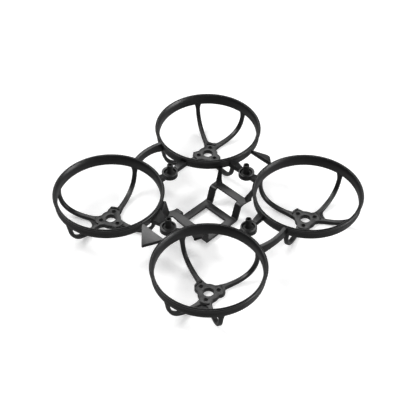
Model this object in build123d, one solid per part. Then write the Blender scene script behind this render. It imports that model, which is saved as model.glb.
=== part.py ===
from build123d import *
import math
import os

os.makedirs("parts", exist_ok=True)

# Ducts: four open rings on a square, millimetres, +Y to the rear, +Z up
DUCT_OFFSET = 22.98
RING_INNER_R = 16.83
RING_OUTER_R = 17.8
MOUTH_R = 17.5
LIP_R = 18.3
RING_BOTTOM = 10.35
LIP_Z = 13.65
LIP_TOP = 14.1

# Motor mounts: three-lobed plates at the bottom of each duct
MOUNT_T = 1.6
MOUNT_HOLE_R = 1.75
SCREW_R = 0.7
SCREW_CIRCLE_R = 3.3
LOBE_R = 2.1
LOBE_CENTRE_R = 3.35
HUB_R = 3.45
RIB_R = 4.95
RIB_W = 0.45
RIB_TOP = 2.3
RIB_SPAN = 44
TOE_T = 1.0

# Struts from the lobes up to the ring
STRUT_W = 1.45
STRUT_T = 1.55
STRUT_TOP_T = 0.95
STRUT_START_R = 4.6
STRUT_SIDE = 1.1
STRUT_Z = 0.8
STRUT_END_R = 17.25
STRUT_FULLNESS = 0.71
# lobe angle, angle where the strut meets the ring, side of the lobe, on the rear right duct
STRUTS = {"mid_y": (300, 288.5, -1), "mid_x": (180, 196, 1), "out_y": (60, 91.3, 1), "out_x": (60, 33, -1)}

# Battery tray under the middle
TRAY_IN = 4.6
TRAY_OUT = 7.1
TRAY_FRONT = -7.7
TRAY_REAR = 6.1
TRAY_Z = 0.6
TRAY_T = 0.85
STRAP_L = 2.4
RISER_T = 0.75
RISER_FOOT = 0.55
RISER_KNEE = 0.95
SHELF_Z = 6.05
SHELF_T = 0.6
SHELF_FRONT = -8.4
SHELF_REAR = 9.2
SHELF_L = 2.7

# Links between the rings
BAR_T = 1.15
BAR_TOP = 13.85
BAR_BOTTOM = 10.4
BAR_ARCH_Z = 11.1
BAR_ARCH_R = 18.0
SIDE_BAR_X = 29.35
SIDE_BAR_END_X = 28.35
SIDE_BAR_END_Y = 6.0
GUSSET_BASE_Z = 13.5
GUSSET_TIP_Z = 10.85
GUSSET_T = 1.3
GUSSET_HALF = 6.0
GUSSET_TIP_Y = 29.9
FRONT_BASE_Y = 24.8
REAR_BASE_Y = 25.2
REAR_EDGE_H = 1.9

# Soft mounts for the flight board, 25.5 mm square turned by 45 degrees
DAMPER_R = 18.03
EYE_SHIFT = 0.2
EYE_OUT_R = 2.7
EYE_FLARES = {"right": (1.5, 1.3), "left": (1.5, 1.3), "rear": (1.9, 1.5), "front": (3.4, 3.6)}
EYE_HOLE_R = 1.3
EYE_TOP = 10.9
EYE_BOTTOM = 9.2
POCKET_DEPTH = 1.1
POCKET_R = 2.15
EYE_ARM_W = 1.6
EYE_ARM_END = (10.5, 12.6)
POST_R = 1.0
POST_TOP = 14.15
POST_HOLE_R = 0.6
NECK_R = 1.25
FLANGE_R = 1.75
CLEARANCE = 0.05
TRAVEL = 0.2
FLANGE_T = 0.45

CENTRES = {"fl": (-1, -1), "fr": (1, -1), "bl": (-1, 1), "br": (1, 1)}


def save(shape, name):
    shape.label = name
    export_step(shape, f"parts/{name}.step")
    return shape


def at(x, y, z=0):
    return Pos(x, y, z)


def slab(points, low, height):
    outline = make_face(Polyline(*points, close=True))
    return at(0, 0, low) * extrude(outline, height)


def box_between(x0, x1, y0, y1, z0, z1):
    return at((x0 + x1) / 2, (y0 + y1) / 2, (z0 + z1) / 2) * Box(x1 - x0, y1 - y0, z1 - z0)


def wedge(low_points, high_points):
    low = make_face(Polyline(*low_points, close=True))
    high = make_face(Polyline(*high_points, close=True))
    return loft([low, high], ruled=True)


def side_plate(points, width):
    """Outline in Y and Z, thickness along X about x = 0."""
    outline = make_face(Polyline(*points, close=True))
    return extrude(outline, width / 2, both=True)


def ring():
    wall = [(RING_INNER_R, RING_BOTTOM), (RING_OUTER_R, RING_BOTTOM), (RING_OUTER_R, LIP_Z - 0.75)]
    under = [wall[-1], (LIP_R - 0.12, LIP_Z - 0.3)]
    lip = ThreePointArc(under[-1], (LIP_R, LIP_Z), (LIP_R - 0.14, LIP_Z + 0.3))
    crown = ThreePointArc(lip @ 1, (MOUTH_R + 0.35, LIP_TOP), (MOUTH_R, LIP_TOP - 0.12))
    mouth = ThreePointArc(crown @ 1, (RING_INNER_R + 0.2, LIP_Z - 0.25), (RING_INNER_R, LIP_Z - 1.1))
    edges = [Line(*wall[:2]), Line(*wall[1:]), Line(*under), lip, crown, mouth, Line(mouth @ 1, wall[0])]
    section = make_face([Plane.XZ.from_local_coords(edge) for edge in edges])
    return revolve(section, Axis.Z)


def motor_mount():
    plate = Cylinder(HUB_R, MOUNT_T)
    for lobe in (60, 180, 300):
        reach = Rot(0, 0, lobe) * (Pos(LOBE_CENTRE_R / 2, 0) * Box(LOBE_CENTRE_R, 2 * LOBE_R, MOUNT_T))
        tip = Rot(0, 0, lobe) * (Pos(LOBE_CENTRE_R, 0) * Cylinder(LOBE_R, MOUNT_T))
        plate = plate + reach + tip
    upright = plate.edges().filter_by(Axis.Z)
    corners = [edge for edge in upright if math.hypot(edge.center().X, edge.center().Y) < HUB_R + 0.2]
    plate = fillet(corners, 0.9)
    plate = at(0, 0, MOUNT_T / 2) * plate + double_toe()
    for lobe in (60, 180, 300):
        plate = plate + Rot(0, 0, lobe) * lobe_rib()
        plate = plate - Rot(0, 0, lobe) * (Pos(SCREW_CIRCLE_R, 0, 1) * Cylinder(SCREW_R, 6))
    return plate - Cylinder(MOUNT_HOLE_R, 6)


def double_toe():
    # thin web in the fork between the two struts that share a lobe
    points = [(4.0, -1.9), (7.4, -2.9), (6.6, -1.2), (6.4, 0), (6.6, 1.2), (7.4, 2.9), (4.0, 1.9)]
    return Rot(0, 0, 60) * slab(points, 0.1, TOE_T)


def lobe_rib():
    height = RIB_TOP - MOUNT_T
    band = Cylinder(RIB_R + RIB_W / 2, height) - Cylinder(RIB_R - RIB_W / 2, height)
    reach = RIB_R + 1
    half = math.radians(RIB_SPAN / 2) * 0.9
    sector = slab([(0, 0), (reach, -reach * math.tan(half)), (reach, reach * math.tan(half))], -1, 3)
    inside = Pos(LOBE_CENTRE_R, 0) * Cylinder(LOBE_R, 4)
    return at(0, 0, MOUNT_T + height / 2) * (band & sector) & inside


def strut(lobe, meet, side):
    lobe_a = math.radians(lobe)
    meet_a = math.radians(meet)
    start_x = STRUT_START_R * math.cos(lobe_a) - side * STRUT_SIDE * math.sin(lobe_a)
    start_y = STRUT_START_R * math.sin(lobe_a) + side * STRUT_SIDE * math.cos(lobe_a)
    run_x = STRUT_END_R * math.cos(meet_a) - start_x
    run_y = STRUT_END_R * math.sin(meet_a) - start_y
    reach = math.hypot(run_x, run_y)
    rise = RING_BOTTOM - STRUT_Z
    lines = []
    for side_of in (1, -1):
        far = reach + side_of * STRUT_TOP_T / 2
        low = STRUT_Z - side_of * STRUT_T / 2
        lift = rise + side_of * STRUT_T / 2
        lines.append(Bezier((0, low), (STRUT_FULLNESS * far, low),
                            (far, low + lift * (1 - STRUT_FULLNESS)), (far, RING_BOTTOM)))
    lines.append(Line(lines[0] @ 1, lines[1] @ 1))
    lines.append(Line(lines[0] @ 0, lines[1] @ 0))
    section = make_face([Plane.XZ.from_local_coords(line) for line in lines])
    strap = extrude(section, STRUT_W / 2, both=True)
    return at(start_x, start_y) * (Rot(0, 0, math.degrees(math.atan2(run_y, run_x))) * strap)


def to_duct(shape, sign_x, sign_y):
    if sign_x < 0:
        shape = mirror(shape, Plane.YZ)
    if sign_y < 0:
        shape = mirror(shape, Plane.XZ)
    return at(sign_x * DUCT_OFFSET, sign_y * DUCT_OFFSET) * shape


def ducts():
    the_ring = ring()
    the_mount = motor_mount()
    the_struts = {name: keep_main(strut(*numbers) - the_mount) for name, numbers in STRUTS.items()}
    placed = {}
    for name, (sign_x, sign_y) in CENTRES.items():
        placed[f"duct_ring_{name}"] = to_duct(the_ring, sign_x, sign_y)
        placed[f"motor_mount_{name}"] = to_duct(the_mount, sign_x, sign_y)
        for which, shape in the_struts.items():
            placed[f"strut_{which}_{name}"] = to_duct(shape, sign_x, sign_y)
    return placed


def bent_strap(points, radii, thick, width):
    # strap of constant thickness along a line of straight runs and arcs, given in Y and Z
    sides = []
    for way in (1, -1):
        moved = []
        for index, (y, z) in enumerate(points):
            before = points[max(index - 1, 0)]
            after = points[min(index + 1, len(points) - 1)]
            into = Vector(y - before[0], z - before[1]) if index else None
            out = Vector(after[0] - y, after[1] - z) if index < len(points) - 1 else None
            into = (into or out).normalized()
            out = (out or into).normalized()
            normal = Vector(-into.Y - out.Y, into.X + out.X).normalized()
            reach = way * thick / 2 / normal.dot(Vector(-into.Y, into.X))
            moved.append((y + normal.X * reach, z + normal.Y * reach))
        turned = [turn_of(points, index) for index in range(1, len(points) - 1)]
        corner_radii = [radius - way * turn * thick / 2 for radius, turn in zip(radii, turned)]
        sides.append(FilletPolyline(*[(0, y, z) for y, z in moved], radius=corner_radii))
    section = make_face([*sides[0].edges(), *sides[1].edges(), Line(sides[0] @ 0, sides[1] @ 0),
                         Line(sides[0] @ 1, sides[1] @ 1)])
    return extrude(section, width / 2, both=True)


def turn_of(points, index):
    # +1 where the line turns left, -1 where it turns right
    (ay, az), (by, bz), (cy, cz) = points[index - 1:index + 2]
    return math.copysign(1, (by - ay) * (cz - bz) - (bz - az) * (cy - by))


def tray():
    low = TRAY_Z
    high = TRAY_Z + TRAY_T
    rear_edge = TRAY_REAR - STRAP_L
    front_edge = TRAY_FRONT + STRAP_L
    placed = {}
    placed["tray_strap_rear"] = box_between(-TRAY_OUT, TRAY_OUT, rear_edge, TRAY_REAR, low, high)
    placed["tray_strap_front"] = box_between(-TRAY_OUT, TRAY_OUT, TRAY_FRONT, front_edge, low, high)
    rail = box_between(TRAY_IN, TRAY_OUT, front_edge, rear_edge, low, high)
    middle_x = (TRAY_IN + TRAY_OUT) / 2
    low_mid = low + TRAY_T / 2
    high_mid = SHELF_Z + SHELF_T / 2
    width = TRAY_OUT - TRAY_IN
    foot_y = TRAY_REAR + RISER_FOOT
    knee_y = SHELF_REAR - RISER_KNEE
    rear_line = [(TRAY_REAR, low_mid), (foot_y, low_mid), (knee_y, high_mid), (SHELF_REAR, high_mid)]
    rear = at(middle_x, 0) * bent_strap(rear_line, (0.65, 1.1), RISER_T, width)
    front_y = TRAY_FRONT + RISER_T / 2
    front_line = [(front_y, high), (front_y, high_mid), (SHELF_FRONT, high_mid)]
    front = at(middle_x, 0) * bent_strap(front_line, (0.75,), RISER_T, width)
    for side, sign in (("left", -1), ("right", 1)):
        for name, shape in (("tray_rail", rail), ("riser_rear", rear), ("riser_front", front)):
            placed[f"{name}_{side}"] = shape if sign > 0 else mirror(shape, Plane.YZ)
    return placed


def shelf_rear():
    far = SHELF_REAR + SHELF_L
    half = [(TRAY_OUT, SHELF_REAR), (7.2, 11.2), (7.45, 13.0), (6.95, 13.4), (5.0, far)]
    return slab(half + [(-x, y) for x, y in reversed(half)], SHELF_Z, SHELF_T)


def shelf_front():
    far = SHELF_FRONT - SHELF_L
    half = [(TRAY_OUT, SHELF_FRONT), (8.2, far), (7.4, -13.2), (6.9, -13.6), (5.4, far), (0, far - 0.4)]
    points = half + [(-x, y) for x, y in reversed(half[:-1])] + [(0, SHELF_FRONT - 0.1)]
    return slab(points, SHELF_Z, SHELF_T)


def shelves(rings):
    top = SHELF_Z + SHELF_T
    reach = RING_BOTTOM + 0.5
    placed = {"shelf_strap_rear": shelf_rear(), "shelf_strap_front": shelf_front()}
    rear = wedge([(5.2, 11.8, top), (6.9, 13.3, top), (7.35, 12.9, top), (7.0, 10.7, top)],
                 [(7.0, 13.6, reach), (7.4, 14.3, reach), (8.3, 13.6, reach), (7.7, 12.8, reach)])
    front = wedge([(6.1, -12.7, top), (6.95, -13.5, top), (8.1, -11.1, top), (7.2, -10.7, top)],
                  [(6.2, -14.8, reach), (7.4, -15.4, reach), (9.9, -11.6, reach), (8.9, -10.7, reach)])
    for name, shape, row in (("arm_rear", rear, "b"), ("arm_front", front, "f")):
        for side, sign in (("left", -1), ("right", 1)):
            placed_arm = shape if sign > 0 else mirror(shape, Plane.YZ)
            duct = rings[f"duct_ring_{row}{side[0]}"]
            placed[f"{name}_{side}"] = keep_main(placed_arm - duct)
    return placed


def keep_main(shape):
    return max(shape.solids(), key=lambda solid: solid.volume)


def side_bar(sign, rings):
    height = BAR_TOP - BAR_BOTTOM
    lines = []
    for shift in (-BAR_T / 2, BAR_T / 2):
        ends = SIDE_BAR_END_X + shift
        lines.append(ThreePointArc((ends, -SIDE_BAR_END_Y), (SIDE_BAR_X + shift, 0), (ends, SIDE_BAR_END_Y)))
    lines.append(Line(lines[0] @ 0, lines[1] @ 0))
    lines.append(Line(lines[0] @ 1, lines[1] @ 1))
    bar = at(0, 0, BAR_BOTTOM) * extrude(make_face(lines), height)
    bar = bar - Pos(0, 0, BAR_ARCH_Z - BAR_ARCH_R) * (Rot(0, 90, 0) * Cylinder(BAR_ARCH_R, 100))
    bar = bar if sign > 0 else mirror(bar, Plane.YZ)
    side = "r" if sign > 0 else "l"
    return keep_main(bar - rings[f"duct_ring_f{side}"] - rings[f"duct_ring_b{side}"])


def gusset(base_y, tip_r, edge_h, pair):
    """Sloping triangular plate between two rings, with its tip low and away from the middle."""
    slope = (GUSSET_BASE_Z - GUSSET_TIP_Z) / (GUSSET_TIP_Y - base_y)
    low_z = GUSSET_TIP_Z - slope
    far_y = GUSSET_TIP_Y + 1
    points = [(0, base_y, GUSSET_BASE_Z), (0, far_y, low_z), (0, far_y, low_z - GUSSET_T),
              (0, base_y + 0.6, GUSSET_BASE_Z - GUSSET_T - 0.2), (0, base_y, GUSSET_BASE_Z - edge_h)]
    ramp = side_plate(points, 2 * GUSSET_HALF)
    plan = make_face(Polyline((-GUSSET_HALF, base_y - 1), (GUSSET_HALF, base_y - 1),
                              (GUSSET_HALF, GUSSET_TIP_Y - GUSSET_HALF), (0, GUSSET_TIP_Y),
                              (-GUSSET_HALF, GUSSET_TIP_Y - GUSSET_HALF), close=True))
    tip = [v for v in plan.vertices() if v.Y > GUSSET_TIP_Y - 0.01]
    plan = fillet(tip, tip_r)
    return keep_main((ramp & extrude(plan, 30)) - pair[0] - pair[1])


def gussets(rings):
    rear = gusset(REAR_BASE_Y, 1.6, REAR_EDGE_H, (rings["duct_ring_bl"], rings["duct_ring_br"]))
    front = gusset(FRONT_BASE_Y, 0.4, GUSSET_T, (rings["duct_ring_bl"], rings["duct_ring_br"]))
    return {"gusset_rear": rear, "gusset_front": mirror(front, Plane.XZ)}


def eye():
    thick = EYE_TOP - EYE_BOTTOM
    ring_part = Cylinder(EYE_OUT_R, thick)
    return Pos(EYE_SHIFT, 0, EYE_BOTTOM + thick / 2) * ring_part


def eye_arm(inward, outward):
    """Web from the boss to one ring, before it is cut to both. It widens by different amounts on its two sides."""
    half = EYE_ARM_W / 2
    near = EYE_OUT_R - 1.0
    far = 8.0
    low, high = EYE_BOTTOM + 0.2, EYE_TOP - 0.05
    low_end, high_end = EYE_ARM_END
    return wedge([(-half, near, low), (half, near, low), (half, near, high), (-half, near, high)],
                 [(-inward, far, low_end), (outward, far, low_end), (outward, far, high_end), (-inward, far, high_end)])


def eyes(rings):
    placed = {}
    hole = at(DAMPER_R, 0, 0) * (Pos(0, 0, 10) * Cylinder(EYE_HOLE_R, 12))
    pocket = at(DAMPER_R, 0, EYE_TOP) * Cylinder(POCKET_R, 2 * POCKET_DEPTH)
    boss = at(DAMPER_R, 0, 0) * eye() - hole - pocket
    blank = at(DAMPER_R + EYE_SHIFT, 0, 10) * Cylinder(EYE_OUT_R, 12)
    turns = {"right": (0, "br", "fr"), "rear": (90, "bl", "br"), "left": (180, "fl", "bl"), "front": (270, "fr", "fl")}
    for name, (turn, ahead, behind) in turns.items():
        along = "y" if turn % 180 == 0 else "x"
        arm = at(DAMPER_R, 0, 0) * eye_arm(*EYE_FLARES[name]) - blank
        placed[f"eye_{name}"] = Rot(0, 0, turn) * boss
        for arm_name, ring_name, shape in (("a", ahead, arm), ("b", behind, mirror(arm, Plane.XZ))):
            turned = Rot(0, 0, turn) * shape
            duct = to_duct(Cylinder(RING_OUTER_R - 0.3, 60), *CENTRES[ring_name])
            trimmed = turned - duct - rings[f"duct_ring_{ring_name}"] - rings[f"strut_mid_{along}_{ring_name}"]
            placed[f"eye_arm_{name}_{arm_name}"] = keep_main(trimmed)
    return placed


def damper():
    """Rubber post with a flange in the eye's pocket and a foot below it, free to give by TRAVEL each way."""
    flange_z = EYE_TOP - POCKET_DEPTH + TRAVEL
    flange_top = flange_z + FLANGE_T
    foot_top = EYE_BOTTOM - TRAVEL
    neck_r = EYE_HOLE_R - CLEARANCE
    post = at(0, 0, (flange_top + POST_TOP) / 2) * Cylinder(POST_R, POST_TOP - flange_top)
    collar = at(0, 0, flange_top + 0.25) * Cone(NECK_R, POST_R, 0.5)
    flange = at(0, 0, flange_z + FLANGE_T / 2) * Cylinder(FLANGE_R, FLANGE_T)
    neck = at(0, 0, (foot_top + flange_z) / 2) * Cylinder(neck_r, flange_z - foot_top)
    foot = at(0, 0, foot_top - FLANGE_T / 2) * Cylinder(FLANGE_R, FLANGE_T)
    body = post + collar + flange + neck + foot
    return body - at(0, 0, 10) * Cylinder(POST_HOLE_R, 20)


def dampers():
    placed = {}
    for turn, name in ((0, "right"), (90, "rear"), (180, "left"), (270, "front")):
        placed[f"damper_{name}"] = Rot(0, 0, turn) * (at(DAMPER_R, 0, 0) * damper())
    return placed


def build():
    nodes = ducts()
    nodes.update(tray())
    nodes.update(shelves(nodes))
    nodes["side_bar_left"] = side_bar(-1, nodes)
    nodes["side_bar_right"] = side_bar(1, nodes)
    nodes.update(gussets(nodes))
    nodes.update(eyes(nodes))
    nodes.update(dampers())
    for name, shape in nodes.items():
        save(shape, name)
    print(len(nodes), "nodes")
    return nodes


build()
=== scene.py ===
import bpy
import math
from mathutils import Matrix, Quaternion, Vector


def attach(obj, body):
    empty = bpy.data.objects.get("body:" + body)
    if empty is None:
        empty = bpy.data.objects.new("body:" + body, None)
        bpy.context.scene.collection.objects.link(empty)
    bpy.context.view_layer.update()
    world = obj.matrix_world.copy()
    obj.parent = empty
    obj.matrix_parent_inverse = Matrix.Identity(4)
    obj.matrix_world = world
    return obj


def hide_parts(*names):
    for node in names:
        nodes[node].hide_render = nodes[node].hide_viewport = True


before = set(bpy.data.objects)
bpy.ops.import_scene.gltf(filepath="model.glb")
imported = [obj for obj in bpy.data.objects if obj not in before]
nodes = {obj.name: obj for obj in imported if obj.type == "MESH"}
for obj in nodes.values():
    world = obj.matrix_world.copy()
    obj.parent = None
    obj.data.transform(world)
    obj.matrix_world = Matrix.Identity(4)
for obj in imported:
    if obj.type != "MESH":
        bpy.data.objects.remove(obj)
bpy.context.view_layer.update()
print("frame loaded:", len(nodes), "nodes")

mm = 0.001  # all lengths in the dictionaries are in millimetres
weldDistance = 0.002 * mm


def deselectAll():
    if bpy.context.object and bpy.context.object.mode != "OBJECT":
        bpy.ops.object.mode_set(mode="OBJECT")
    bpy.ops.object.select_all(action="DESELECT")


def makeActive(piece):
    deselectAll()
    piece.select_set(True)
    bpy.context.view_layer.objects.active = piece


# shader groups

def newGroup(name, inputs, outputs):
    group = bpy.data.node_groups.new(name, "ShaderNodeTree")
    for label, kind, value in inputs:
        socket = group.interface.new_socket(label, in_out="INPUT", socket_type=kind)
        socket.default_value = value
    for label, kind in outputs:
        group.interface.new_socket(label, in_out="OUTPUT", socket_type=kind)
    return group, group.nodes.new("NodeGroupInput"), group.nodes.new("NodeGroupOutput")


def addNode(tree, kind, **settings):
    node = tree.nodes.new(kind)
    for key, value in settings.items():
        setattr(node, key, value)
    return node


def mouldedSkinGroup():
    # fine spark-eroded grain of a plastic moulding, with slow patches where the melt cooled unevenly
    group, inside, outside = newGroup(
        "mouldedSkin",
        [("Grain Size", "NodeSocketFloat", 9000.0), ("Patch Size", "NodeSocketFloat", 120.0)],
        [("Grain", "NodeSocketFloat"), ("Patches", "NodeSocketFloat"), ("Specks", "NodeSocketFloat")])
    link = group.links.new
    place = addNode(group, "ShaderNodeTexCoord")
    grain = addNode(group, "ShaderNodeTexNoise")
    grain.inputs["Detail"].default_value = 3.0
    grain.inputs["Roughness"].default_value = 0.6
    patches = addNode(group, "ShaderNodeTexNoise")
    patches.inputs["Detail"].default_value = 4.0
    specks = addNode(group, "ShaderNodeTexVoronoi", feature="F1")
    speckSize = addNode(group, "ShaderNodeMath", operation="MULTIPLY")
    speckSize.inputs[1].default_value = 0.14
    speckRamp = addNode(group, "ShaderNodeValToRGB")
    speckRamp.color_ramp.elements[0].position = 0.03
    speckRamp.color_ramp.elements[0].color = (1, 1, 1, 1)
    speckRamp.color_ramp.elements[1].position = 0.09
    speckRamp.color_ramp.elements[1].color = (0, 0, 0, 1)
    for node in (grain, patches, specks):
        link(place.outputs["Object"], node.inputs["Vector"])
    link(inside.outputs["Grain Size"], grain.inputs["Scale"])
    link(inside.outputs["Patch Size"], patches.inputs["Scale"])
    link(inside.outputs["Grain Size"], speckSize.inputs[0])
    link(speckSize.outputs[0], specks.inputs["Scale"])
    link(specks.outputs["Distance"], speckRamp.inputs["Fac"])
    link(grain.outputs["Fac"], outside.inputs["Grain"])
    link(patches.outputs["Fac"], outside.inputs["Patches"])
    link(speckRamp.outputs["Color"], outside.inputs["Specks"])
    return group


def scuffGroup():
    # faint rubbed streaks from handling, in two directions, broken up so that no streak runs far
    group, inside, outside = newGroup(
        "handlingScuffs", [("Streak Size", "NodeSocketFloat", 420.0), ("Reach", "NodeSocketFloat", 0.62)],
        [("Scuffs", "NodeSocketFloat")])
    link = group.links.new
    place = addNode(group, "ShaderNodeTexCoord")
    breaks = addNode(group, "ShaderNodeTexNoise")
    breaks.inputs["Scale"].default_value = 340.0
    link(place.outputs["Object"], breaks.inputs["Vector"])
    strongest = addNode(group, "ShaderNodeMath", operation="MAXIMUM")
    for index, (turn, stretch) in enumerate(((25, (1, 14, 3)), (-50, (12, 1, 3)))):
        lay = addNode(group, "ShaderNodeMapping")
        lay.inputs["Rotation"].default_value = (0, 0, math.radians(turn))
        lay.inputs["Scale"].default_value = stretch
        streak = addNode(group, "ShaderNodeTexNoise")
        streak.inputs["Detail"].default_value = 2.0
        cut = addNode(group, "ShaderNodeMath", operation="GREATER_THAN")
        link(place.outputs["Object"], lay.inputs["Vector"])
        link(lay.outputs["Vector"], streak.inputs["Vector"])
        link(inside.outputs["Streak Size"], streak.inputs["Scale"])
        link(streak.outputs["Fac"], cut.inputs[0])
        link(inside.outputs["Reach"], cut.inputs[1])
        link(cut.outputs[0], strongest.inputs[index])
    broken = addNode(group, "ShaderNodeMath", operation="MULTIPLY")
    link(strongest.outputs[0], broken.inputs[0])
    link(breaks.outputs["Fac"], broken.inputs[1])
    link(broken.outputs[0], outside.inputs["Scuffs"])
    return group


skinGroup = mouldedSkinGroup()
scuffsGroup = scuffGroup()


def mouldedMaterial(name, look):
    material = bpy.data.materials.new(name)
    material.use_nodes = True
    tree = material.node_tree
    link = tree.links.new
    shader = tree.nodes["Principled BSDF"]
    skin = addNode(tree, "ShaderNodeGroup", node_tree=skinGroup)
    skin.inputs["Grain Size"].default_value = look["grainSize"]
    skin.inputs["Patch Size"].default_value = look["patchSize"]
    tone = addNode(tree, "ShaderNodeMix", data_type="RGBA")
    tone.inputs[6].default_value = (*look["dark"], 1)
    tone.inputs[7].default_value = (*look["light"], 1)
    dusty = addNode(tree, "ShaderNodeMix", data_type="RGBA")
    dusty.inputs[7].default_value = (*look["speck"], 1)
    speckShare = addNode(tree, "ShaderNodeMath", operation="MULTIPLY")
    speckShare.inputs[1].default_value = look["speckShare"]
    scuffs = addNode(tree, "ShaderNodeGroup", node_tree=scuffsGroup)
    scuffs.inputs["Streak Size"].default_value = look["streakSize"]
    rubbed = addNode(tree, "ShaderNodeMix", data_type="RGBA")
    rubbed.inputs[7].default_value = (*look["speck"], 1)
    scuffShare = addNode(tree, "ShaderNodeMath", operation="MULTIPLY")
    scuffShare.inputs[1].default_value = look["scuffShare"]
    dulled = addNode(tree, "ShaderNodeMath", operation="MULTIPLY_ADD")
    dulled.inputs[1].default_value = look["scuffDull"]
    gloss = addNode(tree, "ShaderNodeMapRange")
    gloss.inputs["To Min"].default_value = look["smooth"]
    gloss.inputs["To Max"].default_value = look["rough"]
    bump = addNode(tree, "ShaderNodeBump")
    bump.inputs["Strength"].default_value = look["bump"]
    bump.inputs["Distance"].default_value = look["bumpHeight"] * mm
    shader.inputs["Specular IOR Level"].default_value = look["specular"]
    link(skin.outputs["Patches"], tone.inputs[0])
    link(tone.outputs[2], dusty.inputs[6])
    link(skin.outputs["Specks"], speckShare.inputs[0])
    link(speckShare.outputs[0], dusty.inputs[0])
    link(dusty.outputs[2], rubbed.inputs[6])
    link(scuffs.outputs["Scuffs"], scuffShare.inputs[0])
    link(scuffShare.outputs[0], rubbed.inputs[0])
    link(rubbed.outputs[2], shader.inputs["Base Color"])
    link(skin.outputs["Patches"], gloss.inputs["Value"])
    link(scuffs.outputs["Scuffs"], dulled.inputs[0])
    link(gloss.outputs["Result"], dulled.inputs[2])
    link(dulled.outputs[0], shader.inputs["Roughness"])
    link(skin.outputs["Grain"], bump.inputs["Height"])
    link(bump.outputs["Normal"], shader.inputs["Normal"])
    return material


plasticLook = {
    "dark": (0.006, 0.006, 0.0063), "light": (0.014, 0.014, 0.0145), "speck": (0.09, 0.09, 0.092),
    "speckShare": 0.25, "grainSize": 6500.0, "patchSize": 160.0,
    "streakSize": 420.0, "scuffShare": 0.12, "scuffDull": 0.12,
    "smooth": 0.3, "rough": 0.42, "bump": 0.35, "bumpHeight": 0.02, "specular": 0.55,
}
rubberLook = {
    "dark": (0.008, 0.008, 0.008), "light": (0.015, 0.015, 0.015), "speck": (0.06, 0.06, 0.06),
    "speckShare": 0.35, "grainSize": 9000.0, "patchSize": 300.0,
    "streakSize": 600.0, "scuffShare": 0.08, "scuffDull": 0.1,
    "smooth": 0.42, "rough": 0.6, "bump": 0.3, "bumpHeight": 0.012, "specular": 0.4,
}
plastic = mouldedMaterial("frame_plastic_black", plasticLook)
rubber = mouldedMaterial("damper_rubber_black", rubberLook)
for name, node in nodes.items():
    node.data.materials.clear()
    node.data.materials.append(rubber if name.startswith("damper") else plastic)
print("materials made")


# modelling tools

def editAll():
    bpy.ops.object.mode_set(mode="EDIT")
    bpy.ops.mesh.select_all(action="SELECT")


def backToObject():
    bpy.ops.object.mode_set(mode="OBJECT")


def bevelEdges(piece, width, steps, limit):
    makeActive(piece)
    bpy.ops.object.modifier_add(type="BEVEL")
    bevel = piece.modifiers[-1]
    bevel.width = width * mm
    bevel.segments = steps
    bevel.limit_method = "ANGLE"
    bevel.angle_limit = math.radians(limit)
    bevel.use_clamp_overlap = True
    bpy.ops.object.modifier_apply(modifier=bevel.name)


def finishPiece(piece, material, smooth, *replaced):
    makeActive(piece)
    bpy.ops.object.transform_apply(location=True, rotation=True, scale=True)
    bpy.ops.object.shade_smooth_by_angle(angle=math.radians(smooth))
    piece.data.materials.clear()
    piece.data.materials.append(material)
    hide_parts(*replaced)
    return piece


def spinProfile(name, centre, profile, steps):
    # closed outline of (radius, height) pairs carried round an upright axis, one loop of edges for each pair
    deselectAll()
    radius, height = profile[0]
    bpy.ops.mesh.primitive_circle_add(vertices=steps, radius=radius * mm,
                                      location=(centre[0] * mm, centre[1] * mm, height * mm))
    piece = bpy.context.object
    piece.name = name
    bpy.ops.object.transform_apply(location=True)
    editAll()
    for nextRadius, nextHeight in profile[1:] + profile[:1]:
        bpy.ops.mesh.extrude_region_move(TRANSFORM_OT_translate={"value": (0, 0, (nextHeight - height) * mm)})
        grow = nextRadius / radius
        bpy.ops.transform.resize(value=(grow, grow, 1), center_override=(centre[0] * mm, centre[1] * mm, 0))
        radius, height = nextRadius, nextHeight
    bpy.ops.mesh.select_all(action="SELECT")
    bpy.ops.mesh.remove_doubles(threshold=weldDistance)
    bpy.ops.mesh.normals_make_consistent(inside=False)
    backToObject()
    return piece


def copyOfNode(nodeName, label):
    deselectAll()
    makeActive(nodes[nodeName])
    bpy.ops.object.duplicate()
    piece = bpy.context.object
    piece.name = label
    piece.parent = None
    editAll()
    bpy.ops.mesh.remove_doubles(threshold=weldDistance)
    backToObject()
    return piece


def tidyFlats(piece, angle):
    makeActive(piece)
    editAll()
    bpy.ops.mesh.remove_doubles(threshold=weldDistance)
    bpy.ops.mesh.dissolve_limited(angle_limit=math.radians(angle))
    bpy.ops.mesh.normals_make_consistent(inside=False)
    backToObject()


def fuseNodes(label, names):
    # the solids of one moulding, joined into a single skin
    whole = copyOfNode(names[0], label)
    for other in names[1:]:
        tool = copyOfNode(other, "joinTool")
        makeActive(whole)
        bpy.ops.object.modifier_add(type="BOOLEAN")
        join = whole.modifiers[-1]
        join.operation = "UNION"
        join.solver = "EXACT"
        join.object = tool
        bpy.ops.object.modifier_apply(modifier=join.name)
        makeActive(tool)
        bpy.ops.object.delete()
    return whole


def mirroredTo(piece, label, signX, signY):
    # copy for another duct, mirrored about the middle of the frame
    makeActive(piece)
    bpy.ops.object.duplicate()
    twin = bpy.context.object
    twin.name = label
    twin.scale = (signX, signY, 1)
    bpy.ops.object.transform_apply(scale=True)
    editAll()
    bpy.ops.mesh.normals_make_consistent(inside=False)
    backToObject()
    return twin


corners = {"br": (1, 1), "bl": (-1, 1), "fr": (1, -1), "fl": (-1, -1)}
ductOffset = 22.98

# duct rings

ductRing = {
    "innerR": 16.83, "outerR": 17.8, "mouthR": 17.5, "lipR": 18.3,
    "bottom": 10.35, "lipZ": 13.65, "top": 14.1, "groove": 0.14, "edge": 0.13,
    "seamZ": 11.75, "seamOut": 0.035, "seamHalf": 0.05, "steps": 224, "smooth": 34,
}


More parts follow.
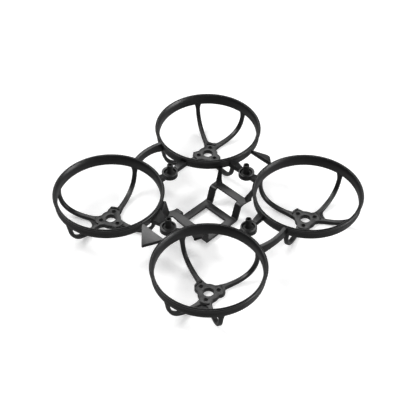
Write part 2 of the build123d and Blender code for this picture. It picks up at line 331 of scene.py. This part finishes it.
def ductProfile():
    r = ductRing
    edge = r["edge"]
    inner, outer, mouth, lip = r["innerR"], r["outerR"], r["mouthR"], r["lipR"]
    grooveZ = r["lipZ"] + 0.27 - r["groove"]
    outline = [
        (inner + edge, r["bottom"]), (outer - edge, r["bottom"]),
        (outer - 0.3 * edge, r["bottom"] + 0.3 * edge), (outer, r["bottom"] + edge),
        (outer, r["seamZ"] - r["seamHalf"]), (outer + r["seamOut"], r["seamZ"]),
        (outer, r["seamZ"] + r["seamHalf"]), (outer, r["lipZ"] - 0.85),
        (outer + 0.03, r["lipZ"] - 0.72), (outer + 0.1, r["lipZ"] - 0.6),
        (lip - 0.16, r["lipZ"] - 0.34), (lip - 0.05, r["lipZ"] - 0.2),
        (lip, r["lipZ"]), (lip - 0.03, r["lipZ"] + 0.13), (lip - 0.1, r["lipZ"] + 0.24),
        (lip - 0.22, r["lipZ"] + 0.3), (lip - 0.34, r["lipZ"] + 0.27),
        (lip - 0.46, grooveZ), (mouth + 0.24, grooveZ),
        (mouth + 0.17, r["lipZ"] + 0.3), (mouth + 0.12, r["top"] - 0.04), (mouth + 0.04, r["top"]),
        (mouth - 0.06, r["top"]), (mouth - 0.14, r["top"] - 0.06), (mouth - 0.2, r["top"] - 0.2),
        (inner + 0.27, r["lipZ"] - 0.08),
        (inner + 0.12, r["lipZ"] - 0.4), (inner + 0.03, r["lipZ"] - 0.75),
        (inner, r["lipZ"] - 1.1), (inner, r["bottom"] + edge),
        (inner + 0.3 * edge, r["bottom"] + 0.3 * edge),
    ]
    return outline


for corner, (signX, signY) in corners.items():
    centre = (signX * ductOffset, signY * ductOffset)
    ring = spinProfile("ductRing_" + corner, centre, ductProfile(), ductRing["steps"])
    finishPiece(ring, plastic, ductRing["smooth"], "duct_ring_" + corner)
    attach(ring, "frame")
print("duct rings made")

# struts: deep blades that leave a lobe flat and turn up into the ring

blade = {
    "width": 1.45, "thick": 1.6, "topThick": 1.0, "startR": 4.2, "side": 1.1, "z": 0.81,
    "endR": 17.27, "fullness": 0.71, "ringBottom": ductRing["bottom"], "sink": 0.4,
    "lobeFlare": 1.0, "lobeRun": 3.2, "ringFlare": 1.3, "ringRun": 3.0,
    "steps": 44, "round": 0.3, "roundSteps": 4, "bevelAngle": 50, "smooth": 40,
}
strutPlan = {  # lobe angle, angle at the ring, side of the lobe
    "mid_y": (300, 288.5, -1), "mid_x": (180, 196, 1), "out_y": (60, 91.3, 1), "out_x": (60, 33, -1),
}


def bezierPoint(points, t):
    u = 1 - t
    weights = (u ** 3, 3 * u * u * t, 3 * u * t * t, t ** 3)
    return Vector([sum(w * p[axis] for w, p in zip(weights, points)) for axis in range(2)])


def makeBlade(name, lobe, meet, side):
    b = blade
    lobeTurn, meetTurn = math.radians(lobe), math.radians(meet)
    startX = b["startR"] * math.cos(lobeTurn) - side * b["side"] * math.sin(lobeTurn)
    startY = b["startR"] * math.sin(lobeTurn) + side * b["side"] * math.cos(lobeTurn)
    runX = b["endR"] * math.cos(meetTurn) - startX
    runY = b["endR"] * math.sin(meetTurn) - startY
    reach = math.hypot(runX, runY)
    top = b["ringBottom"] + b["sink"]
    path = [(0, b["z"]), (b["fullness"] * reach, b["z"]),
            (reach, b["z"] + (top - b["z"]) * (1 - b["fullness"])), (reach, top)]
    spots = [bezierPoint(path, step / b["steps"]) for step in range(b["steps"] + 1)]
    lengths = [0]
    for before, after in zip(spots, spots[1:]):
        lengths.append(lengths[-1] + (after - before).length)
    widths, thicks, tilts = [], [], []
    for index, along in enumerate(lengths):
        lobeShare = max(0, 1 - along / b["lobeRun"]) ** 2
        ringShare = max(0, 1 - (lengths[-1] - along) / b["ringRun"]) ** 2
        widths.append(b["width"] + b["lobeFlare"] * lobeShare + b["ringFlare"] * ringShare)
        thicks.append(b["thick"] + (b["topThick"] - b["thick"]) * along / lengths[-1])
        ahead = spots[min(index + 1, b["steps"])] - spots[max(index - 1, 0)]
        tilts.append(math.atan2(ahead.y, ahead.x))
    deselectAll()
    bpy.ops.mesh.primitive_plane_add(size=1, location=(0, 0, spots[0].y * mm), rotation=(0, math.pi / 2, 0))
    piece = bpy.context.object
    piece.name = name
    bpy.ops.object.transform_apply(location=True, rotation=True)
    editAll()
    bpy.ops.transform.resize(value=(1, widths[0] * mm, thicks[0] * mm),
                             center_override=(0, 0, spots[0].y * mm))
    for index in range(1, len(spots)):
        step = (spots[index] - spots[index - 1]) * mm
        here = (spots[index].x * mm, 0, spots[index].y * mm)
        bpy.ops.mesh.extrude_region_move(TRANSFORM_OT_translate={"value": (step.x, 0, step.y)})
        thin = thicks[index] / thicks[index - 1]
        bpy.ops.transform.resize(value=(thin, widths[index] / widths[index - 1], thin), center_override=here)
        bpy.ops.transform.rotate(value=tilts[index] - tilts[index - 1], orient_axis="Y", center_override=here)
    bpy.ops.mesh.select_all(action="SELECT")
    bpy.ops.mesh.normals_make_consistent(inside=False)
    backToObject()
    bevelEdges(piece, b["round"], b["roundSteps"], b["bevelAngle"])
    piece.rotation_euler = (0, 0, math.atan2(runY, runX))
    piece.location = ((startX + ductOffset) * mm, (startY + ductOffset) * mm, 0)
    makeActive(piece)
    bpy.ops.object.transform_apply(location=True, rotation=True)
    return piece


for which, (lobe, meet, side) in strutPlan.items():
    first = makeBlade("strutBlade_" + which + "_br", lobe, meet, side)
    for corner, (signX, signY) in corners.items():
        label = "strutBlade_" + which + "_" + corner
        piece = first if corner == "br" else mirroredTo(first, label, signX, signY)
        finishPiece(piece, plastic, blade["smooth"], "strut_" + which + "_" + corner)
        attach(piece, "frame")
print("struts made")

# motor mounts

mount = {"edge": 0.16, "steps": 3, "flat": 0.5, "bevelAngle": 35, "smooth": 40}

for corner in corners:
    piece = copyOfNode("motor_mount_" + corner, "motorMount_" + corner)
    tidyFlats(piece, mount["flat"])
    bevelEdges(piece, mount["edge"], mount["steps"], mount["bevelAngle"])
    finishPiece(piece, plastic, mount["smooth"], "motor_mount_" + corner)
    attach(piece, "frame")
print("motor mounts made")

# battery tray with its risers, shelves and arms, one moulding

cradle = {
    "edge": 0.13, "steps": 3, "flat": 0.5, "bevelAngle": 35, "smooth": 38,
    "nodes": ["tray_strap_rear", "tray_rail_left", "tray_rail_right", "tray_strap_front",
              "riser_rear_left", "riser_rear_right", "riser_front_left", "riser_front_right",
              "shelf_strap_rear", "shelf_strap_front",
              "arm_rear_left", "arm_rear_right", "arm_front_left", "arm_front_right"],
}
tray = fuseNodes("batteryCradle", cradle["nodes"])
tidyFlats(tray, cradle["flat"])
bevelEdges(tray, cradle["edge"], cradle["steps"], cradle["bevelAngle"])
finishPiece(tray, plastic, cradle["smooth"], *cradle["nodes"])
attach(tray, "frame")
print("battery cradle made")

# side bars, sloping plates and the eyes that hold the dampers

links = {
    "barEdge": 0.18, "plateEdge": 0.22, "eyeEdge": 0.14, "steps": 3, "flat": 0.5,
    "barBevelAngle": 35, "plateBevelAngle": 30, "eyeBevelAngle": 40, "smooth": 38,
}

for side in ("left", "right"):
    bar = copyOfNode("side_bar_" + side, "sideBar_" + side)
    tidyFlats(bar, links["flat"])
    bevelEdges(bar, links["barEdge"], links["steps"], links["barBevelAngle"])
    finishPiece(bar, plastic, links["smooth"], "side_bar_" + side)
    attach(bar, "frame")
for end in ("rear", "front"):
    plate = copyOfNode("gusset_" + end, "slopingPlate_" + end)
    tidyFlats(plate, links["flat"])
    bevelEdges(plate, links["plateEdge"], links["steps"], links["plateBevelAngle"])
    finishPiece(plate, plastic, links["smooth"], "gusset_" + end)
    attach(plate, "frame")
for place in ("right", "rear", "left", "front"):
    parts = ["eye_" + place, "eye_arm_" + place + "_a", "eye_arm_" + place + "_b"]
    eye = fuseNodes("damperEye_" + place, parts)
    tidyFlats(eye, links["flat"])
    bevelEdges(eye, links["eyeEdge"], links["steps"], links["eyeBevelAngle"])
    finishPiece(eye, plastic, links["smooth"], *parts)
    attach(eye, "frame")
print("links and eyes made")

# rubber dampers

post = {
    "circleR": 18.03, "holeR": 0.6, "footR": 1.75, "footLow": 8.55, "footTop": 9.0, "neckR": 1.25,
    "flangeLow": 10.0, "flangeTop": 10.45, "postR": 1.0, "top": 14.15, "edge": 0.1,
    "steps": 72, "smooth": 36,
}


def postProfile():
    p = post
    edge = p["edge"]
    foot, hole, flange, top = p["footR"], p["holeR"], p["flangeTop"], p["top"]
    outline = [
        (hole + edge, p["footLow"]), (foot - edge, p["footLow"]), (foot, p["footLow"] + edge),
        (foot, p["footTop"] - edge), (foot - edge, p["footTop"]), (p["neckR"], p["footTop"]),
        (p["neckR"], p["flangeLow"]), (foot - edge, p["flangeLow"]), (foot, p["flangeLow"] + edge),
        (foot, flange - edge), (foot - edge, flange),
        (p["neckR"] + 0.1, flange), (p["neckR"] - 0.1, flange + 0.14),
        (p["postR"] + 0.04, flange + 0.5), (p["postR"], flange + 0.62),
        (p["postR"], top - edge - 0.03), (p["postR"] - 0.03, top - 0.04),
        (p["postR"] - edge, top), (hole + 0.5 * edge, top), (hole, top - edge),
        (hole, p["footLow"] + edge),
    ]
    return outline


damperSides = {"right": (1, 0), "rear": (0, 1), "left": (-1, 0), "front": (0, -1)}
for place, (spotX, spotY) in damperSides.items():
    centre = (spotX * post["circleR"], spotY * post["circleR"])
    damper = spinProfile("damperPost_" + place, centre, postProfile(), post["steps"])
    finishPiece(damper, rubber, post["smooth"], "damper_" + place)
    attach(damper, "damper_" + place)
print("dampers made")

# floor, light and camera

studio = {
    "floorSize": 6000, "floorTone": 0.9, "bounceTone": 0.02, "paperGlow": 0.34, "bounceGlow": 0.26,
    "skyTone": 0.02, "backdropGlow": 1.05, "litNear": 160, "litFar": 1100,
}
lamps = {  # size, power and place
    "rearSoftbox": (420, 1.5, (-330, 360, 520)),
    "rightSoftbox": (360, 3.4, (500, 330, 240)),
    "leftSoftbox": (320, 2.5, (-400, -210, 600)),
    "frontSoftbox": (360, 0.6, (330, -420, 560)),
    "topSoftbox": (360, 0.8, (30, -20, 700)),
}


def makeFloor():
    # pale paper that glows a little to the eye and throws only a little light back up
    deselectAll()
    bpy.ops.mesh.primitive_grid_add(x_subdivisions=4, y_subdivisions=4, size=studio["floorSize"] * mm)
    floor = bpy.context.object
    floor.name = "studioFloor"
    material = bpy.data.materials.new("studioPaper")
    material.use_nodes = True
    tree = material.node_tree
    link = tree.links.new
    shader = tree.nodes["Principled BSDF"]
    rays = addNode(tree, "ShaderNodeLightPath")
    tone = addNode(tree, "ShaderNodeMapRange")
    tone.inputs["To Min"].default_value = studio["bounceTone"]
    tone.inputs["To Max"].default_value = studio["floorTone"]
    glow = addNode(tree, "ShaderNodeMapRange")
    glow.inputs["To Min"].default_value = studio["bounceGlow"]
    place = addNode(tree, "ShaderNodeTexCoord")
    away = addNode(tree, "ShaderNodeVectorMath", operation="LENGTH")
    spread = addNode(tree, "ShaderNodeMapRange", interpolation_type="SMOOTHSTEP")
    spread.inputs["From Min"].default_value = studio["litNear"] * mm
    spread.inputs["From Max"].default_value = studio["litFar"] * mm
    spread.inputs["To Min"].default_value = studio["paperGlow"]
    spread.inputs["To Max"].default_value = studio["backdropGlow"]
    shader.inputs["Roughness"].default_value = 0.95
    shader.inputs["Specular IOR Level"].default_value = 0.0
    shader.inputs["Emission Color"].default_value = (1, 1, 1, 1)
    link(rays.outputs["Is Camera Ray"], tone.inputs["Value"])
    link(tone.outputs["Result"], shader.inputs["Base Color"])
    link(place.outputs["Object"], away.inputs[0])
    link(away.outputs["Value"], spread.inputs["Value"])
    link(spread.outputs["Result"], glow.inputs["To Max"])
    link(rays.outputs["Is Camera Ray"], glow.inputs["Value"])
    link(glow.outputs["Result"], shader.inputs["Emission Strength"])
    floor.data.materials.append(material)


def makeLight(name, size, power, place):
    deselectAll()
    spot = Vector(place) * mm
    bpy.ops.object.light_add(type="AREA", location=spot)
    light = bpy.context.object
    light.name = name
    light.data.shape = "DISK"
    light.data.size = size * mm
    light.data.energy = power
    light.rotation_euler = (Vector((0, 0, 0.01)) - spot).to_track_quat("-Z", "Y").to_euler()


def makeWorld():
    world = bpy.data.worlds.new("studioWorld")
    world.use_nodes = True
    tree = world.node_tree
    back = tree.nodes["Background"]
    rays = addNode(tree, "ShaderNodeLightPath")
    strength = addNode(tree, "ShaderNodeMapRange")
    strength.inputs["To Min"].default_value = studio["skyTone"]
    strength.inputs["To Max"].default_value = studio["backdropGlow"]
    back.inputs["Color"].default_value = (1, 1, 1, 1)
    tree.links.new(rays.outputs["Is Camera Ray"], strength.inputs["Value"])
    tree.links.new(strength.outputs["Result"], back.inputs["Strength"])
    bpy.context.scene.world = world


cameraSet = {"target": (5.11, -5.25, 13.65), "azimuth": 44.41, "elevation": 44.64, "roll": 0.533,
             "distance": 361.1, "lens": 97.2, "shiftX": -0.0003, "shiftY": 0.0002}


def makeCamera():
    deselectAll()
    turn = math.radians(cameraSet["azimuth"])
    lift = math.radians(cameraSet["elevation"])
    back = Vector((math.sin(turn) * math.cos(lift), -math.cos(turn) * math.cos(lift), math.sin(lift)))
    target = Vector(cameraSet["target"]) * mm
    bpy.ops.object.camera_add(location=target + back * cameraSet["distance"] * mm)
    camera = bpy.context.object
    camera.rotation_mode = "QUATERNION"
    level = (-back).to_track_quat("-Z", "Y")
    camera.rotation_quaternion = level @ Quaternion((0, 0, 1), math.radians(cameraSet["roll"]))
    camera.data.lens = cameraSet["lens"]
    camera.data.sensor_width = 36
    camera.data.shift_x = cameraSet["shiftX"]
    camera.data.shift_y = cameraSet["shiftY"]
    camera.data.clip_start = 0.01
    camera.data.clip_end = 10
    bpy.context.scene.camera = camera


makeFloor()
for name, (size, power, place) in lamps.items():
    makeLight(name, size, power, place)
makeWorld()
makeCamera()
bpy.context.scene.view_settings.view_transform = "Standard"
print("studio ready")
